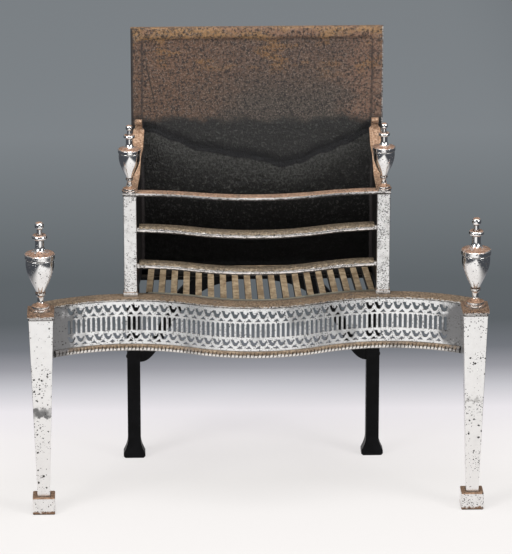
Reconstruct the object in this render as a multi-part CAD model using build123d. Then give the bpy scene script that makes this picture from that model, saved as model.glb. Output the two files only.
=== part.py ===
"""Serpentine fire grate on two urn-topped front legs and two iron rear legs, in millimetres.

X runs to the right, Y to the back, Z up. The origin is on the floor, at the middle of the outline.
"""
import os
from math import acos, asin, atan2, copysign, cos, degrees, hypot, radians, sin, tan

from build123d import *

# Whole grate
leg_span = 800.0            # between the centres of the front legs
overall_depth = 330.0       # front of the large urns to the back of the rear legs
contact_gap = 0.15          # between a pin or tenon and its hole, all round
seat_gap = 0.05             # under a flat head on a curved face

# Front feet, legs and caps
foot_side = 41.5
foot_height = 33.0
foot_edge = 1.5
leg_height = 349.0
leg_top_side = 45.3
leg_bottom_side = 23.0
leg_edge = 0.8
leg_tenon_radius = 6.0
leg_tenon_length = 20.0
cap_side = 49.0
cap_slab = 9.5
cap_neck = 4.5
cap_neck_inset = 3.5
cap_edge = 2.0

# Turned urns: heights above the seat and radii, for the large urn
urn_base_radius = 19.3
urn_base_height = 4.0
urn_step_radius = 16.3
urn_step_height = 9.0
urn_waist_radius = 5.7
urn_waist_height = 19.5
urn_collar_radius = 9.4
urn_collar_height = 30.0
urn_foot_height = 34.0
urn_body_low_radius = 15.3
urn_body_low_height = 51.5
urn_body_mid_radius = 23.0
urn_body_mid_height = 70.0
urn_body_top_radius = 25.6
urn_rim_radius = 27.8
urn_rim_height = 99.4
urn_rim_band = 9.8
urn_bead = 1.2
urn_lid_radius = 26.4
urn_lid_neck_radius = 8.2
urn_lid_neck_height = 124.0
urn_knop_radius = 14.0
urn_knop_height = 139.3
urn_knop_thickness = 7.0
urn_neck_radius = 5.0
urn_ball_radius = 8.5
urn_ball_height = 162.5
urn_ball_half_height = 7.0
urn_stud_radius = 3.0
urn_stud_top = 132.0
urn_stud_bite = 30.0        # how far the stud goes into what the urn stands on
small_urn_ratio = 0.75

# Serpentine line of the frieze, as its front edge
line_set_back = 10.3        # middle of the bow behind the leg centres
bow_radius = 283.5
hollow_x = 238.0
hollow_depth = 51.9

# Frieze rail and pierced panel
rail_thickness = 6.0
rail_tab = 15.0             # how far the rail runs past the leg's inner side
panel_lip = 1.5             # rail edge ahead of the panel face
panel_thickness = 3.0
upper_band = 6.0
upper_scrolls = 20.0
fillet_line = 3.0
pales = 27.4
middle_band = 5.0
lower_scrolls = 17.0
lower_band = 4.6
gadroon_height = 14.0
gadroon_depth = 5.5
gadroon_count = 110
gadroon_groove = 2.6
gadroon_groove_depth = 2.4
gadroon_lean = 12.0
gadroon_end_gap = 0.5
scroll_count = 42
scroll_share = 0.71         # of the row's height that the larger opening takes
fret_end_room = 27.6        # plain sheet between the fret and the leg
pale_count = 77
pale_gap = 5.8
lug_width = 26.0
lug_inset = 5.0             # its inner edge behind the leg
lug_thickness = 3.0
lug_head_room = 4.0
lug_foot_room = 4.0
lug_taper_room = 4.0        # how far the lug reaches forward to the tapering leg

# Standards at the basket's front corners
standard_x = 234.4
standard_width = 24.0
standard_depth = 16.0
standard_set_back = 12.0
standard_height = 194.0
standard_base_height = 8.0
standard_base_spread = 1.2
standard_edge = 0.8
standard_pin_radius = 4.0
standard_pin_length = 19.0
nut_flats = 13.0
nut_height = 5.0

# Fire bars
bar_depth = 20.0
bar_height = 13.2
bar_gap_to_standard = 4.8
bar_tenon = 8.0
bar_tenon_bite = 8.0
lower_bar_z = 447.0
middle_bar_z = 517.0
bar_apex_back = 20.0        # front of the bars behind the frieze line, at the middle
bar_hollow_depth = 47.0
bar_bow_radius = 320.0
top_bar_depth = 20.0
top_bar_thickness = 7.0
top_bar_overhang = 1.0
top_bar_lip = 1.5           # ahead of the standards
top_bar_hollow_depth = 36.0
top_bar_bow_radius = 400.0
top_bar_edge = 1.2

# Front bearer, behind the frieze
bearer_plate = 6.0
bearer_reach = 51.0         # back edge of its top flange behind the frieze line
bearer_web = 4.0
bearer_half_run = 246.0
ledge_drop = 13.0           # the ledge that carries the grid, below the top flange
ledge_width = 12.0

# Loose bottom grid
grid_thickness = 12.0
grid_gap = 1.0
grid_strip = 8.0
grid_bar_count = 19
grid_bar_width = 11.6
grid_front_pitch = 23.4
grid_rear_pitch = 22.5
grid_front_shift = 8.2
grid_rear_shift = 8.2

# Rear legs, bearer and braces
rear_leg_x = 230.0
rear_leg_width = 25.0
rear_leg_depth = 26.0
rear_foot_width = 42.0
rear_foot_height = 38.0
rear_foot_sole = 9.0
rear_foot_chamfer = 3.5
rear_bearer_thickness = 6.0
rear_bearer_depth = 40.0
rear_bearer_overhang = 2.0
grid_to_rear_bearer = 5.0   # the rear strip stands this much lower than the bars
brace_thickness = 12.0
brace_set_back = 2.0
brace_leg_z = 196.0
brace_leg_depth = 20.0
brace_tip_x = 30.0
brace_tip_depth = 8.0
brace_pull = 52.0

# Back plate
plate_width = 474.0
plate_height = 484.0
plate_thickness = 12.0
plate_set_in = 25.0         # front face ahead of the back of the rear legs
plate_offset = 7.0          # the casting sits a little to the right
plate_border = 21.0
plate_border_rise = 3.0
plate_corner = 8.0

# Cheeks
cheek_thickness = 6.0
cheek_front_x = 232.0
cheek_rear_half = 222.0
cheek_rear_shift = 6.5
cheek_flange = 20.0
cheek_flange_thickness = 5.0
cheek_clearance = 0.5       # behind the cheek, to the back plate
strap_front_gap = 0.8       # behind the small urn's foot
shoulder_share = 0.375      # of the strap's whole run
shoulder_lift = 8.0
sweep_share = 0.182
sweep_lift = 28.0
landing_share = 0.27
landing_lift = 3.0
cheek_end_slope = 40.0
cheek_bend_share = 0.09
strap_thickness = 3.5
strap_width = 21.0
tongue_width = 13.0
tongue_height = 13.0
tongue_shoulder = 4.0
tongue_bend = 9.0
scroll_radius = 5.5
scroll_turn = 250.0
angle_side = 11.0
angle_thickness = 3.5
angle_height = 230.0
angle_foot_room = 12.0

# Fasteners
screw_radius = 3.0
screw_head_radius = 6.0
screw_head_height = 3.0
screw_bite = 12.0
rivet_radius = 2.5
rivet_head_radius = 4.5
rivet_head_height = 2.0
bolt_radius = 4.0
bolt_head_radius = 6.0
bolt_head_height = 4.0
bolt_bite = 24.0

# Places that follow from the sizes
leg_x = leg_span / 2
leg_y = -overall_depth / 2 + urn_rim_radius
leg_top_z = foot_height + leg_height
cap_top_z = leg_top_z + cap_neck + cap_slab
rail_top_z = cap_top_z
panel_top_z = rail_top_z - rail_thickness
upper_scroll_z = panel_top_z - upper_band
upper_line_z = upper_scroll_z - upper_scrolls
pale_top_z = upper_line_z - fillet_line
pale_foot_z = pale_top_z - pales
lower_scroll_z = pale_foot_z - middle_band
lower_line_z = lower_scroll_z - lower_scrolls
gadroon_top_z = lower_line_z - lower_band
gadroon_foot_z = gadroon_top_z - gadroon_height
rail_depth = standard_set_back + standard_depth
standard_top_z = rail_top_z + standard_height
top_bar_top_z = standard_top_z + top_bar_thickness
bearer_foot_z = panel_top_z - bearer_plate
ledge_top_z = panel_top_z - ledge_drop
ledge_foot_z = ledge_top_z - bearer_plate
grid_top_z = ledge_top_z + grid_thickness
rear_bearer_top_z = ledge_top_z - grid_to_rear_bearer
rear_bearer_foot_z = rear_bearer_top_z - rear_bearer_thickness
rear_back_y = overall_depth / 2
rear_leg_y = rear_back_y - rear_leg_depth / 2
plate_front_y = rear_back_y - plate_set_in
line_hollow_y = leg_y + line_set_back + hollow_depth
standard_front_y = line_hollow_y + standard_set_back
standard_y = standard_front_y + standard_depth / 2
standard_back_y = standard_front_y + standard_depth
standard_inner_x = standard_x - standard_width / 2
cheek_run = plate_front_y - cheek_clearance - standard_back_y
small_urn_y = standard_y
cheek_step_run = bearer_reach + ledge_width - rail_depth + cheek_clearance
sides = {"left": -1, "right": 1}
long_cut = 60.0             # longer than any wall that a cutter passes through


class Serpentine:
    """A bow between two hollows, seen from above: three arcs that meet without a corner."""

    def __init__(self, apex_y, radius, depth_x, depth):
        both_radii = (depth_x**2 + depth**2) / (2 * depth)
        self.apex_y = apex_y
        self.bow_radius = radius
        self.hollow_radius = both_radii - radius
        self.hollow_x = depth_x
        self.hollow_y = apex_y + depth
        self.turn = asin(depth_x / both_radii)
        self.bow_run = radius * self.turn

    def run_at(self, x):
        """Length along the line from its middle to a place x."""
        reach = abs(x)
        if reach <= self.bow_radius * sin(self.turn):
            return copysign(self.bow_radius * asin(reach / self.bow_radius), x)
        swing = asin((reach - self.hollow_x) / self.hollow_radius)
        return copysign(self.bow_run + self.hollow_radius * (self.turn + swing), x)

    def run_at_depth(self, y, behind):
        """Length, past the hollow, where a line behind this one comes forward to a place y."""
        swing = acos((y - self.hollow_y + self.hollow_radius) / (self.hollow_radius + behind))
        return self.bow_run + self.hollow_radius * (self.turn + swing)

    def station(self, run, behind=0.0):
        """Place and heading, in radians, at a length along the line."""
        reach = abs(run)
        if reach <= self.bow_run:
            heading = reach / self.bow_radius
            x = (self.bow_radius - behind) * sin(heading)
            y = self.apex_y + self.bow_radius - (self.bow_radius - behind) * cos(heading)
        else:
            swing = (reach - self.bow_run) / self.hollow_radius - self.turn
            heading = -swing
            x = self.hollow_x + (self.hollow_radius + behind) * sin(swing)
            y = self.hollow_y - self.hollow_radius + (self.hollow_radius + behind) * cos(swing)
        return copysign(1, run) * x, y, copysign(1, run) * heading

    def place(self, run, behind=0.0, z=0.0):
        """Location whose X runs along the line and whose Y points back from it."""
        x, y, heading = self.station(run, behind)
        return Location((x, y, z), (0, 0, degrees(heading)))

    def arcs(self, behind, start, stop):
        """The line's arcs between two lengths, moved back from the front edge."""
        breaks = [run for run in (-self.bow_run, self.bow_run) if start < run < stop]
        ends = [start, *breaks, stop]

        def at(run):
            x, y, _ = self.station(run, behind)
            return x, y

        return [ThreePointArc(at(a), at((a + b) / 2), at(b)) for a, b in zip(ends, ends[1:])]

    def band(self, front, back, foot, top, start, stop):
        """A strip of rectangular section that follows the line."""
        ends = [
            Line(self.station(run, front)[:2], self.station(run, back)[:2])
            for run in (start, stop)
        ]
        outline = make_face(self.arcs(front, start, stop) + self.arcs(back, start, stop) + ends)
        return Pos(0, 0, foot) * extrude(outline, top - foot)

    def sweep(self, section, start, stop):
        """A moulding whose section is drawn as depth behind the line against height."""
        x, y, heading = self.station(start)
        across = Plane((x, y, 0), x_dir=(-sin(heading), cos(heading), 0),
                       z_dir=(cos(heading), sin(heading), 0))
        return sweep(across * section, path=Wire(self.arcs(0, start, stop)))


frieze_line = Serpentine(leg_y + line_set_back, bow_radius, hollow_x, hollow_depth)
bar_line = Serpentine(frieze_line.apex_y + bar_apex_back, bar_bow_radius, hollow_x, bar_hollow_depth)
top_bar_line = Serpentine(standard_front_y - top_bar_lip - top_bar_hollow_depth,
                          top_bar_bow_radius, hollow_x, top_bar_hollow_depth)


def block(x, y, z):
    """Box between two corners, given as a pair of limits on each axis."""
    size = [high - low for low, high in (x, y, z)]
    middle = [(low + high) / 2 for low, high in (x, y, z)]
    return Pos(*middle) * Box(*size)


def mirrored(part):
    return mirror(part, about=Plane.YZ)


def upright(radius, foot, top, x=0.0, y=0.0):
    """Round pin or hole on a vertical axis."""
    return Pos(x, y, foot) * Cylinder(radius, top - foot, align=(Align.CENTER, Align.CENTER, Align.MIN))


def hole(radius):
    return radius + contact_gap


# Legs

def front_foot():
    body = Pos(leg_x, leg_y, foot_height / 2) * Box(foot_side, foot_side, foot_height)
    body = chamfer(body.edges(), foot_edge)
    return body - upright(hole(leg_tenon_radius), foot_height - leg_tenon_length - contact_gap,
                          foot_height, leg_x, leg_y)


def leg_shaft():
    low = Pos(leg_x, leg_y, foot_height) * RectangleRounded(leg_bottom_side, leg_bottom_side, leg_edge)
    high = Pos(leg_x, leg_y, leg_top_z) * RectangleRounded(leg_top_side, leg_top_side, leg_edge)
    return loft([low.face(), high.face()])


def screw_heights():
    """The two heights at which a leg and the frieze's lug are screwed together."""
    top = leg_top_z - lug_head_room
    foot = gadroon_foot_z + lug_foot_room
    return foot + (top - foot) / 4, top - (top - foot) / 4


def screw_hole(z, radius, length):
    """Hole from the leg's middle to the back."""
    return Pos(leg_x, leg_y, z) * Rot(-90, 0, 0) * Cylinder(
        radius, length, align=(Align.CENTER, Align.CENTER, Align.MIN))


def front_leg():
    leg = leg_shaft()
    leg += upright(leg_tenon_radius, foot_height - leg_tenon_length, foot_height, leg_x, leg_y)
    leg -= upright(hole(urn_stud_radius), cap_top_z - urn_stud_bite - contact_gap,
                   leg_top_z, leg_x, leg_y)
    start = leg_top_side / 2 - screw_bite
    for z in screw_heights():
        leg -= Pos(0, start, 0) * screw_hole(z, hole(screw_radius), long_cut)
    return leg


def leg_cap():
    neck_side = cap_side - 2 * cap_neck_inset
    neck = block((leg_x - neck_side / 2, leg_x + neck_side / 2),
                 (leg_y - neck_side / 2, leg_y + neck_side / 2), (leg_top_z, leg_top_z + cap_neck))
    slab = block((leg_x - cap_side / 2, leg_x + cap_side / 2),
                 (leg_y - cap_side / 2, leg_y + cap_side / 2), (leg_top_z + cap_neck, cap_top_z))
    slab = fillet(slab.faces().sort_by(Axis.Z)[0].edges(), cap_edge)
    return neck + slab - upright(hole(urn_stud_radius), leg_top_z, cap_top_z, leg_x, leg_y)


# Urns, drawn for the large size and scaled for the small one

def turned(edges, foot, top):
    """Solid of revolution round Z from a profile, closed along the axis."""
    start, stop = edges[0] @ 0, edges[-1] @ 1
    closing = [Line((0, foot), start), Line(stop, (0, top)), Line((0, top), (0, foot))]
    return revolve(Plane.XZ * make_face(edges + closing), axis=Axis.Z)


def urn_foot():
    flat = Polyline((urn_base_radius, 0), (urn_base_radius, urn_base_height),
                    (urn_step_radius, urn_base_height), (urn_step_radius, urn_step_height))
    sweep_in = Spline((urn_step_radius, urn_step_height), (urn_waist_radius, urn_waist_height),
                      tangents=[(-1, 0.3), (0, 1)])
    collar = Polyline((urn_collar_radius, urn_collar_height), (urn_collar_radius, urn_foot_height))
    sweep_out = Spline((urn_waist_radius, urn_waist_height), (urn_collar_radius, urn_collar_height),
                       tangents=[(0, 1), (1, 0.6)])
    body = turned([flat, sweep_in, sweep_out, collar], 0, urn_foot_height)
    return body - upright(hole(urn_stud_radius), 0, urn_foot_height)


def urn_vase():
    bowl = Spline((urn_waist_radius + urn_bead, urn_foot_height),
                  (urn_body_low_radius, urn_body_low_height),
                  (urn_body_mid_radius, urn_body_mid_height),
                  (urn_body_top_radius, urn_rim_height - urn_bead))
    rim_top = urn_rim_height + urn_rim_band
    bead = ThreePointArc((urn_body_top_radius, urn_rim_height - urn_bead),
                         (urn_body_top_radius + urn_bead, urn_rim_height - urn_bead / 2),
                         (urn_body_top_radius, urn_rim_height))
    rim = Polyline((urn_body_top_radius, urn_rim_height), (urn_rim_radius, urn_rim_height + urn_bead),
                   (urn_rim_radius, rim_top - urn_bead), (urn_lid_radius, rim_top))
    body = turned([bowl, bead, rim], urn_foot_height, rim_top)
    return body - upright(hole(urn_stud_radius), urn_foot_height, rim_top)


def urn_cover():
    foot = urn_rim_height + urn_rim_band
    knop_foot = urn_knop_height - urn_knop_thickness / 2
    knop_top = urn_knop_height + urn_knop_thickness / 2
    ball_foot = urn_ball_height - urn_ball_half_height
    ball_top = urn_ball_height + urn_ball_half_height
    lid = Spline((urn_lid_radius, foot), (urn_lid_neck_radius, urn_lid_neck_height),
                 tangents=[(-1, 0.25), (0, 1)])
    under = Line((urn_lid_neck_radius, urn_lid_neck_height), (urn_lid_neck_radius, knop_foot))
    knop = ThreePointArc((urn_lid_neck_radius, knop_foot), (urn_knop_radius, urn_knop_height),
                         (urn_neck_radius, knop_top))
    neck = Line((urn_neck_radius, knop_top), (urn_neck_radius, ball_foot))
    ball = Spline((urn_neck_radius, ball_foot), (urn_ball_radius, urn_ball_height), (0, ball_top),
                  tangents=[(1, 0.5), (0, 1), (-1, 0)])
    body = revolve(Plane.XZ * make_face([Line((0, foot), (urn_lid_radius, foot)), lid, under, knop,
                                         neck, ball, Line((0, ball_top), (0, foot))]), axis=Axis.Z)
    return body - upright(hole(urn_stud_radius), foot, urn_stud_top + contact_gap)


def urn_pieces(name, ratio, x, y, seat_z):
    """The turned pieces of one urn and the stud that holds them down."""
    seat = Pos(x, y, seat_z)
    for piece, make in (("foot", urn_foot), ("vase", urn_vase), ("cover", urn_cover)):
        yield f"{name}_{piece}", seat * scale(make(), by=ratio)
    stud = upright(urn_stud_radius * ratio, -urn_stud_bite, urn_stud_top * ratio)
    yield f"{name}_stud", seat * stud


# Frieze

def half_run():
    """Where the panel meets the leg's inner side."""
    return frieze_line.run_at(leg_x - leg_top_side / 2)


def frieze_rail():
    reach = half_run() + rail_tab
    rail = frieze_line.band(0, rail_depth, panel_top_z, rail_top_z, -reach, reach)
    cap_room = cap_side / 2 + contact_gap
    for side in sides.values():
        x = side * leg_x
        rail -= block((x - cap_room, x + cap_room), (leg_y - cap_room, leg_y + cap_room),
                      (panel_top_z, rail_top_z))
        rail -= upright(hole(standard_pin_radius), panel_top_z, rail_top_z, side * standard_x, standard_y)
    return rail - rail_rivet_holes()


def scroll_pitch():
    """Length of one scroll, with the row centred and a plain end beside each leg."""
    return 2 * (half_run() - fret_end_room) / scroll_count


def scroll_opening(height):
    """Room between two straps of the scroll row, round the drop that hangs in it."""
    width = scroll_pitch()
    deep = height * scroll_share
    return make_face([
        Line((-0.46 * width, 0), (-0.21 * width, -0.8 * deep)),
        ThreePointArc((-0.21 * width, -0.8 * deep), (0.04 * width, -deep), (0.29 * width, -0.8 * deep)),
        Line((0.29 * width, -0.8 * deep), (0.44 * width, -0.4 * deep)),
        ThreePointArc((0.44 * width, -0.4 * deep), (0.41 * width, -0.16 * deep), (0.3 * width, -0.22 * deep)),
        ThreePointArc((0.3 * width, -0.22 * deep), (0.12 * width, -0.46 * deep),
                      (-0.06 * width, -0.22 * deep)),
        Line((-0.06 * width, -0.22 * deep), (-0.1 * width, 0)),
        Line((-0.1 * width, 0), (-0.46 * width, 0)),
    ])


def spandrel(height):
    """Small triangle between two straps, above the line below them."""
    width = scroll_pitch()
    return Pos(width / 2, 0) * make_face(Polyline(
        (-0.33 * width, -height), (0.3 * width, -height), (0.04 * width, -0.7 * height), close=True))


def pale_opening():
    radius = pale_gap / 2
    return make_face([
        Line((-radius, -pales), (radius, -pales)), Line((radius, -pales), (radius, -radius)),
        ThreePointArc((radius, -radius), (0, 0), (-radius, -radius)),
        Line((-radius, -radius), (-radius, -pales)),
    ])


def fret_cutters():
    """Every opening of the fret, as short prisms that stand across the panel."""
    middle = panel_lip + panel_thickness / 2

    def prism(outline):
        return extrude(Plane.XZ * outline, amount=2 * panel_thickness, both=True)

    cutters = []
    for top, height in ((upper_scroll_z, upper_scrolls), (lower_scroll_z, lower_scrolls)):
        shapes = [prism(scroll_opening(height)), prism(spandrel(height))]
        for index in range(scroll_count):
            run = (index - (scroll_count - 1) / 2) * scroll_pitch()
            at = frieze_line.place(run, middle, top)
            last = index == scroll_count - 1
            cutters += [at * shape for shape in (shapes[:1] if last else shapes)]
    slot = prism(pale_opening())
    pitch = scroll_count * scroll_pitch() / pale_count
    for index in range(pale_count):
        cutters.append(frieze_line.place((index - (pale_count - 1) / 2) * pitch, middle, pale_top_z) * slot)
    return cutters


def frieze_panel():
    leg_back_y = leg_y + leg_top_side / 2
    back = panel_lip + panel_thickness
    reach = frieze_line.run_at_depth(leg_back_y + lug_thickness, back)
    panel = frieze_line.band(panel_lip, back, gadroon_foot_z, panel_top_z, -reach, reach)
    shaft = leg_shaft()
    for side in sides.values():
        inner = leg_x - leg_top_side / 2 + lug_inset
        lug = block((inner, inner + lug_width), (leg_back_y - lug_taper_room, leg_back_y + lug_thickness),
                    (gadroon_foot_z + lug_foot_room, leg_top_z - lug_head_room))
        for z in screw_heights():
            lug -= screw_hole(z, hole(screw_radius), long_cut)
        panel += lug if side > 0 else mirrored(lug)
    cap_room = cap_side / 2 + contact_gap
    for side in sides.values():
        panel -= shaft if side > 0 else mirrored(shaft)
        panel -= block((side * leg_x - cap_room, side * leg_x + cap_room),
                       (leg_y - cap_room, leg_y + cap_room), (leg_top_z, panel_top_z))
    panel -= gadroon_rivet_holes()
    return panel - fret_cutters()


def gadroon_reach():
    return half_run() - panel_lip - gadroon_end_gap


def frieze_gadroon():
    front = panel_lip - gadroon_depth
    nose = ThreePointArc((panel_lip, gadroon_top_z), (front, (gadroon_top_z + gadroon_foot_z) / 2),
                         (panel_lip, gadroon_foot_z))
    section = make_face([nose, Line((panel_lip, gadroon_foot_z), (panel_lip, gadroon_top_z))])
    reach = gadroon_reach()
    moulding = frieze_line.sweep(section, -reach, reach)
    groove = extrude(Plane.XY * make_face(Polyline(
        (-gadroon_groove / 2, -gadroon_groove_depth), (gadroon_groove / 2, -gadroon_groove_depth),
        (0, gadroon_groove_depth), close=True)), amount=gadroon_height, both=True)
    groove = Rot(0, gadroon_lean, 0) * groove
    pitch = 2 * reach / gadroon_count
    mid_z = (gadroon_top_z + gadroon_foot_z) / 2
    grooves = [frieze_line.place(-reach + index * pitch, front, mid_z) * groove
               for index in range(1, gadroon_count)]
    return moulding - grooves - gadroon_rivet_holes()


# Basket front

def standard():
    shaft = block((standard_inner_x, standard_inner_x + standard_width),
                  (standard_front_y, standard_back_y), (rail_top_z, standard_top_z))
    shaft = chamfer(shaft.edges().filter_by(Axis.Z), standard_edge)
    spread = standard_base_spread
    base = block((standard_inner_x - spread, standard_inner_x + standard_width + spread),
                 (standard_front_y - spread, standard_back_y),
                 (rail_top_z, rail_top_z + standard_base_height))
    base = chamfer(base.faces().sort_by(Axis.Z)[-1].edges(), standard_edge)
    pin = upright(standard_pin_radius, rail_top_z - standard_pin_length, rail_top_z, standard_x, standard_y)
    body = shaft + base + pin
    body -= upright(hole(urn_stud_radius * small_urn_ratio), top_bar_top_z - urn_stud_bite - contact_gap,
                    standard_top_z, standard_x, small_urn_y)
    for z in (lower_bar_z, middle_bar_z):
        body -= bar_tenon_shape(z, contact_gap)
    return body - flange_rivet_holes(1)


def standard_nuts():
    pin = upright(hole(standard_pin_radius), bearer_foot_z - 2 * nut_height, bearer_foot_z,
                  standard_x, standard_y)
    hexagon = RegularPolygon(nut_flats / 2, 6, major_radius=False)
    nut = Pos(standard_x, standard_y, bearer_foot_z - nut_height) * extrude(hexagon, nut_height) - pin
    return [nut, mirrored(nut)]


def bar_tenon_shape(foot, room=0.0):
    """Square tenon at the right end of a fire bar, or with room round it, its mortise."""
    half = bar_tenon / 2 + room
    z = foot + bar_height / 2
    return block((standard_inner_x - bar_gap_to_standard, standard_inner_x + bar_tenon_bite + room),
                 (standard_y - half, standard_y + half), (z - half, z + half))


def fire_bar(foot):
    """Bar with a half-round front and square ends, tenoned into both standards."""
    radius = bar_height / 2
    middle = foot + radius
    section = make_face([
        ThreePointArc((radius, foot + bar_height), (0, middle), (radius, foot)),
        Line((radius, foot), (bar_depth, foot)), Line((bar_depth, foot), (bar_depth, foot + bar_height)),
        Line((bar_depth, foot + bar_height), (radius, foot + bar_height)),
    ])
    end = standard_inner_x - bar_gap_to_standard
    reach = bar_line.run_at(end + bar_gap_to_standard)
    bar = bar_line.sweep(section, -reach, reach)
    bar &= block((-end, end), (-overall_depth, overall_depth), (foot, foot + bar_height))
    tenon = bar_tenon_shape(foot)
    return bar + tenon + mirrored(tenon)


def top_bar():
    end = standard_x + standard_width / 2 + top_bar_overhang
    reach = top_bar_line.run_at(end + top_bar_overhang)
    bar = top_bar_line.band(0, top_bar_depth, standard_top_z, top_bar_top_z, -reach, reach)
    bar &= block((-end, end), (-overall_depth, overall_depth), (standard_top_z, top_bar_top_z))
    bar = chamfer(bar.faces().sort_by(Axis.Z)[-1].edges(), top_bar_edge)
    for side in sides.values():
        bar -= upright(hole(urn_stud_radius * small_urn_ratio), standard_top_z, top_bar_top_z,
                       side * standard_x, small_urn_y)
    return bar


# Bearer and loose grid

def front_bearer():
    run = frieze_line.run_at(bearer_half_run)
    inner = panel_lip + panel_thickness
    web_front = bearer_reach - bearer_web
    flange = frieze_line.band(inner, bearer_reach, bearer_foot_z, panel_top_z, -run, run)
    web = frieze_line.band(web_front, bearer_reach, ledge_foot_z, panel_top_z, -run, run)
    ledge = frieze_line.band(web_front, bearer_reach + ledge_width, ledge_foot_z, ledge_top_z, -run, run)
    bearer = flange + web + ledge - rail_rivet_holes()
    for side in sides.values():
        bearer -= upright(hole(standard_pin_radius), bearer_foot_z, panel_top_z,
                          side * standard_x, standard_y)
    return bearer


def grid_places():
    """Front and rear x of every grid bar."""
    for index in range(grid_bar_count):
        step = index - (grid_bar_count - 1) / 2
        yield grid_front_shift + step * grid_front_pitch, grid_rear_shift + step * grid_rear_pitch


grid_front = bearer_reach + contact_gap + grid_gap
grid_rear_y = plate_front_y - cheek_clearance - grid_gap


def grid_front_strip():
    places = list(grid_places())
    half = grid_bar_width / 2
    start, stop = places[0][0] - half, places[-1][0] + half
    return frieze_line.band(grid_front, grid_front + grid_strip, ledge_top_z, grid_top_z,
                            frieze_line.run_at(start), frieze_line.run_at(stop))


def grid_rear_strip():
    places = list(grid_places())
    half = grid_bar_width / 2
    return block((places[0][1] - half, places[-1][1] + half), (grid_rear_y - grid_strip, grid_rear_y),
                 (rear_bearer_top_z, grid_top_z))


def grid_bars():
    """Flat bars that spread a little from the rear strip to the bowed front strip."""
    back = grid_rear_y - grid_strip
    front = frieze_line.hollow_y - hollow_depth + grid_front
    start, stop = (frieze_line.run_at(side * bearer_half_run) for side in (-1, 1))
    ahead = frieze_line.band(-long_cut, grid_front + grid_strip, ledge_top_z, grid_top_z, start, stop)
    half = grid_bar_width / 2
    bars = []
    for front_x, rear_x in grid_places():
        outline = make_face(Polyline((front_x - half, front), (front_x + half, front),
                                     (rear_x + half, back), (rear_x - half, back), close=True))
        bar = Pos(0, 0, ledge_top_z) * extrude(outline, grid_thickness) - ahead
        bars.append(bar.solids().sort_by(Axis.Y)[-1])
    return bars


# Rear legs

def rear_leg():
    narrow, wide = rear_leg_width / 2, rear_foot_width / 2
    sole = rear_foot_sole
    outline = make_face([
        Line((-narrow, rear_bearer_foot_z), (narrow, rear_bearer_foot_z)),
        Line((narrow, rear_bearer_foot_z), (narrow, rear_foot_height)),
        Spline((narrow, rear_foot_height), (wide, sole), tangents=[(0, -1), (0.45, -1)]),
        Line((wide, sole), (wide, rear_foot_chamfer)),
        Line((wide, rear_foot_chamfer), (wide - rear_foot_chamfer, 0)),
        Line((wide - rear_foot_chamfer, 0), (-wide + rear_foot_chamfer, 0)),
        Line((-wide + rear_foot_chamfer, 0), (-wide, rear_foot_chamfer)),
        Line((-wide, rear_foot_chamfer), (-wide, sole)),
        Spline((-wide, sole), (-narrow, rear_foot_height), tangents=[(0.45, 1), (0, 1)]),
        Line((-narrow, rear_foot_height), (-narrow, rear_bearer_foot_z)),
    ])
    leg = Pos(rear_leg_x, rear_leg_y, 0) * extrude(Plane.XZ * outline, rear_leg_depth / 2, both=True)
    leg -= bearer_bolt_hole()
    return leg - brace_side_hole()


def brace_y():
    return rear_back_y - rear_leg_depth + brace_set_back + brace_thickness / 2


def rear_brace():
    """Strap that sweeps from the rear leg up to the middle of the rear bearer."""
    foot_x = rear_leg_x - rear_leg_width / 2
    pull, tip = brace_pull, rear_bearer_foot_z
    low, high = brace_leg_z, brace_leg_z + brace_leg_depth
    under = Bezier((foot_x, low), (foot_x - pull, low), (foot_x - pull, tip - 2 * brace_tip_depth),
                   (brace_tip_x, tip - brace_tip_depth))
    over = Bezier((foot_x, high), (foot_x - 0.7 * pull, high), (foot_x - 0.9 * pull, tip - contact_gap),
                  (brace_tip_x + long_cut, tip))
    outline = make_face([
        under, Line((brace_tip_x, tip - brace_tip_depth), (brace_tip_x, tip)),
        Line((brace_tip_x, tip), (brace_tip_x + long_cut, tip)), over, Line((foot_x, high), (foot_x, low)),
    ])
    brace = Pos(0, brace_y(), 0) * extrude(Plane.XZ * outline, brace_thickness / 2, both=True)
    return brace - brace_side_hole() - brace_tip_hole()


def rear_bearer():
    half = rear_leg_x + rear_leg_width / 2 + rear_bearer_overhang
    bar = block((-half, half), (rear_back_y - rear_bearer_depth, rear_back_y),
                (rear_bearer_foot_z, rear_bearer_top_z))
    cuts = [bearer_bolt_hole(), brace_tip_hole()]
    return bar - cuts - [mirrored(cut) for cut in cuts]


# Back plate and cheeks

def back_plate():
    middle_z = rear_bearer_top_z + plate_height / 2
    slab = extrude(Plane.XZ * RectangleRounded(plate_width, plate_height, plate_corner),
                   -(plate_thickness - plate_border_rise))
    slab = Pos(0, plate_border_rise, 0) * slab
    rim = RectangleRounded(plate_width, plate_height, plate_corner)
    rim -= Rectangle(plate_width - 2 * plate_border, plate_height - 2 * plate_border)
    border = extrude(Plane.XZ * rim, -(plate_thickness - plate_border_rise))
    plate = Pos(plate_offset, plate_front_y, middle_z) * (slab + border)
    return plate - [hole for side in sides.values() for hole in plate_bolt_holes(side)]


def cheek_rear_x(side):
    return side * cheek_rear_half + cheek_rear_shift


def cheek_plane(side):
    """Plane of a cheek: X runs from the standard to the back plate, Y is up."""
    run_x = cheek_rear_x(side) - side * cheek_front_x
    return Plane((side * cheek_front_x, standard_back_y, 0), x_dir=(run_x, cheek_run, 0),
                 z_dir=(cheek_run, -run_x, 0))


def cheek_length(side):
    return hypot(cheek_rear_x(side) - side * cheek_front_x, cheek_run)


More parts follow.
